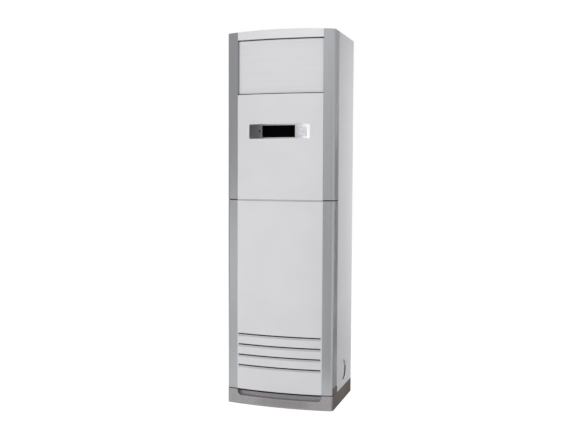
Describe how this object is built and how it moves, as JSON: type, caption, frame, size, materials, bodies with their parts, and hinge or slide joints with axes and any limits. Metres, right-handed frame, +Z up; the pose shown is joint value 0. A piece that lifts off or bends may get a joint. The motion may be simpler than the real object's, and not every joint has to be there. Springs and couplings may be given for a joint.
{
  "type": "floor standing air conditioner",
  "caption": "Tall cabinet indoor unit of an air conditioner: bowed front with display strip, slotted intake below, sliding outlet door above, silver corner posts.",
  "frame": {"origin": "centre of the base, on the floor", "axes": "+Z up, front faces -Y, +X to the right of someone who looks at the front"},
  "size_m": [0.54, 0.41, 1.825],
  "materials": {
    "panel_white": "satin, very light cool grey",
    "post_silver": "silver lacquer on moulded plastic",
    "sheet_grey": "powder coated, light grey",
    "base_grey": "fine grained warm grey",
    "zinc": "galvanised sheet",
    "bezel_bright": "bright silver plated plastic",
    "window_dark": "dark glossy window",
    "board_green": "circuit board",
    "key_grey": "satin",
    "button_dark": "gloss",
    "inner_black": "black moulded plastic",
    "louvre_white": "light grey moulded plastic",
    "gear_white": "natural acetal",
    "shaft_steel": "bright steel",
    "wheel_grey": "grey moulded plastic",
    "motor_case": "painted motor case",
    "filter_plastic": "blue grey plastic",
    "filter_net": "fine net",
    "fin_aluminium": "thin fins",
    "copper": "bright copper",
    "brass": "machined brass",
    "foam": "expanded foam",
    "seam_beige": "satin strip",
    "pan_white": "moulded tray"
  },
  "bodies": {
    "cabinet": {"base_plinth": "base_grey", "base_pan": "zinc", "left_side_panel": "sheet_grey", "right_side_panel": "sheet_grey", "knockout_plate": "sheet_grey", "rear_panel": "zinc", "panel_screws": "shaft_steel", "top_cover": "sheet_grey", "top_bar": "panel_white", "upper_post_right": "post_silver", "upper_post_left": "post_silver", "display_panel": "panel_white", "mid_rail": "seam_beige", "display_bezel": "bezel_bright", "display_window": "window_dark", "display_board": "board_green", "door_guides": "inner_black", "door_motor": "zinc", "outlet_frame": "inner_black", "volute_housing": "zinc", "volute_front": "zinc", "fan_motor": "motor_case", "motor_bracket": "zinc", "front_bulkhead": "zinc", "control_box": "zinc", "control_cover": "zinc", "control_electrics": "board_green", "coil_fins": "fin_aluminium", "coil_end_plates": "zinc", "coil_bends": "copper", "refrigerant_pipes": "copper", "flare_unions": "brass", "fan_deck": "zinc", "drain_pan": "pan_white", "side_liners": "foam"},
    "lower_section": {"lower_panel": "panel_white", "lower_post_right": "post_silver", "lower_post_left": "post_silver"},
    "filter": {"filter_frame": "filter_plastic", "filter_mesh": "filter_net"},
    "fan": {"fan_wheel": "wheel_grey", "fan_shaft": "shaft_steel"},
    "door": {"outlet_door": "panel_white", "door_racks": "gear_white"},
    "door_drive": {"pinion_shaft": "gear_white"},
    "power_button": {"power_button": "button_dark"},
    "key_down": {"key_down": "key_grey"},
    "key_up": {"key_up": "key_grey"},
    "louvre_1": {"louvre_1": "louvre_white"},
    "louvre_2": {"louvre_2": "louvre_white"},
    "louvre_3": {"louvre_3": "louvre_white"},
    "louvre_4": {"louvre_4": "louvre_white"},
    "louvre_5": {"louvre_5": "louvre_white"},
    "louvre_link": {"louvre_link": "inner_black"},
    "vane_1": {"vane_1": "louvre_white"},
    "vane_2": {"vane_2": "louvre_white"},
    "vane_3": {"vane_3": "louvre_white"},
    "vane_4": {"vane_4": "louvre_white"},
    "vane_5": {"vane_5": "louvre_white"},
    "vane_link": {"vane_link": "inner_black"}
  },
  "joints": [
    {"name": "lower_section_tilt", "type": "hinge", "parent": "cabinet", "child": "lower_section", "pos_m": [0, -0.196, 0.079], "axis": [1, 0, 0], "range_deg": [0, 12]},
    {"name": "filter_slide", "type": "slide", "parent": "cabinet", "child": "filter", "axis": [0, 0, 1], "range_m": [0, 0.22]},
    {"name": "fan_spin", "type": "hinge", "parent": "cabinet", "child": "fan", "pos_m": [-0.02, 0, 0.3], "axis": [0, 1, 0], "continuous": true},
    {"name": "door_slide", "type": "slide", "parent": "cabinet", "child": "door", "axis": [0, 0, -1], "range_m": [0, 0.255]},
    {"name": "door_drive_spin", "type": "hinge", "parent": "cabinet", "child": "door_drive", "pos_m": [0, -0.154, 1.507], "axis": [1, 0, 0], "range_deg": [-1, 975]},
    {"name": "power_button_press", "type": "slide", "parent": "cabinet", "child": "power_button", "axis": [0, 1, 0], "range_m": [0, 0.001], "stiffness_N_per_m": 400},
    {"name": "key_down_press", "type": "slide", "parent": "cabinet", "child": "key_down", "axis": [0, 1, 0], "range_m": [0, 0.001], "stiffness_N_per_m": 400},
    {"name": "key_up_press", "type": "slide", "parent": "cabinet", "child": "key_up", "axis": [0, 1, 0], "range_m": [0, 0.001], "stiffness_N_per_m": 400},
    {"name": "louvre_1_tilt", "type": "hinge", "parent": "cabinet", "child": "louvre_1", "pos_m": [0, -0.128, 1.556], "axis": [1, 0, 0], "range_deg": [-25, 25]},
    {"name": "louvre_2_tilt", "type": "hinge", "parent": "cabinet", "child": "louvre_2", "pos_m": [0, -0.128, 1.604], "axis": [1, 0, 0], "range_deg": [-25, 25]},
    {"name": "louvre_3_tilt", "type": "hinge", "parent": "cabinet", "child": "louvre_3", "pos_m": [0, -0.128, 1.652], "axis": [1, 0, 0], "range_deg": [-25, 25]},
    {"name": "louvre_4_tilt", "type": "hinge", "parent": "cabinet", "child": "louvre_4", "pos_m": [0, -0.128, 1.7], "axis": [1, 0, 0], "range_deg": [-25, 25]},
    {"name": "louvre_5_tilt", "type": "hinge", "parent": "cabinet", "child": "louvre_5", "pos_m": [0, -0.128, 1.748], "axis": [1, 0, 0], "range_deg": [-25, 25]},
    {"name": "louvre_link_pivot", "type": "hinge", "parent": "louvre_1", "child": "louvre_link", "pos_m": [-0.06, -0.112, 1.556], "axis": [1, 0, 0], "range_deg": [-25, 25]},
    {"name": "vane_1_turn", "type": "hinge", "parent": "cabinet", "child": "vane_1", "pos_m": [-0.16, -0.082, 1.652], "axis": [0, 0, 1], "range_deg": [-30, 30]},
    {"name": "vane_2_turn", "type": "hinge", "parent": "cabinet", "child": "vane_2", "pos_m": [-0.08, -0.082, 1.652], "axis": [0, 0, 1], "range_deg": [-30, 30]},
    {"name": "vane_3_turn", "type": "hinge", "parent": "cabinet", "child": "vane_3", "pos_m": [0, -0.082, 1.652], "axis": [0, 0, 1], "range_deg": [-30, 30]},
    {"name": "vane_4_turn", "type": "hinge", "parent": "cabinet", "child": "vane_4", "pos_m": [0.08, -0.082, 1.652], "axis": [0, 0, 1], "range_deg": [-30, 30]},
    {"name": "vane_5_turn", "type": "hinge", "parent": "cabinet", "child": "vane_5", "pos_m": [0.16, -0.082, 1.652], "axis": [0, 0, 1], "range_deg": [-30, 30]},
    {"name": "vane_link_pivot", "type": "hinge", "parent": "vane_1", "child": "vane_link", "pos_m": [-0.16, -0.067, 1.574], "axis": [0, 0, 1], "range_deg": [-30, 30]}
  ],
  "couplings": [
    {"joint": "door_drive_spin", "follows": "door_slide", "rad_per_m": 66.667},
    {"joint": "louvre_2_tilt", "follows": "louvre_1_tilt", "ratio": 1},
    {"joint": "louvre_3_tilt", "follows": "louvre_1_tilt", "ratio": 1},
    {"joint": "louvre_4_tilt", "follows": "louvre_1_tilt", "ratio": 1},
    {"joint": "louvre_5_tilt", "follows": "louvre_1_tilt", "ratio": 1},
    {"joint": "louvre_link_pivot", "follows": "louvre_1_tilt", "ratio": -1},
    {"joint": "vane_2_turn", "follows": "vane_1_turn", "ratio": 1},
    {"joint": "vane_3_turn", "follows": "vane_1_turn", "ratio": 1},
    {"joint": "vane_4_turn", "follows": "vane_1_turn", "ratio": 1},
    {"joint": "vane_5_turn", "follows": "vane_1_turn", "ratio": 1},
    {"joint": "vane_link_pivot", "follows": "vane_1_turn", "ratio": -1}
  ]
}
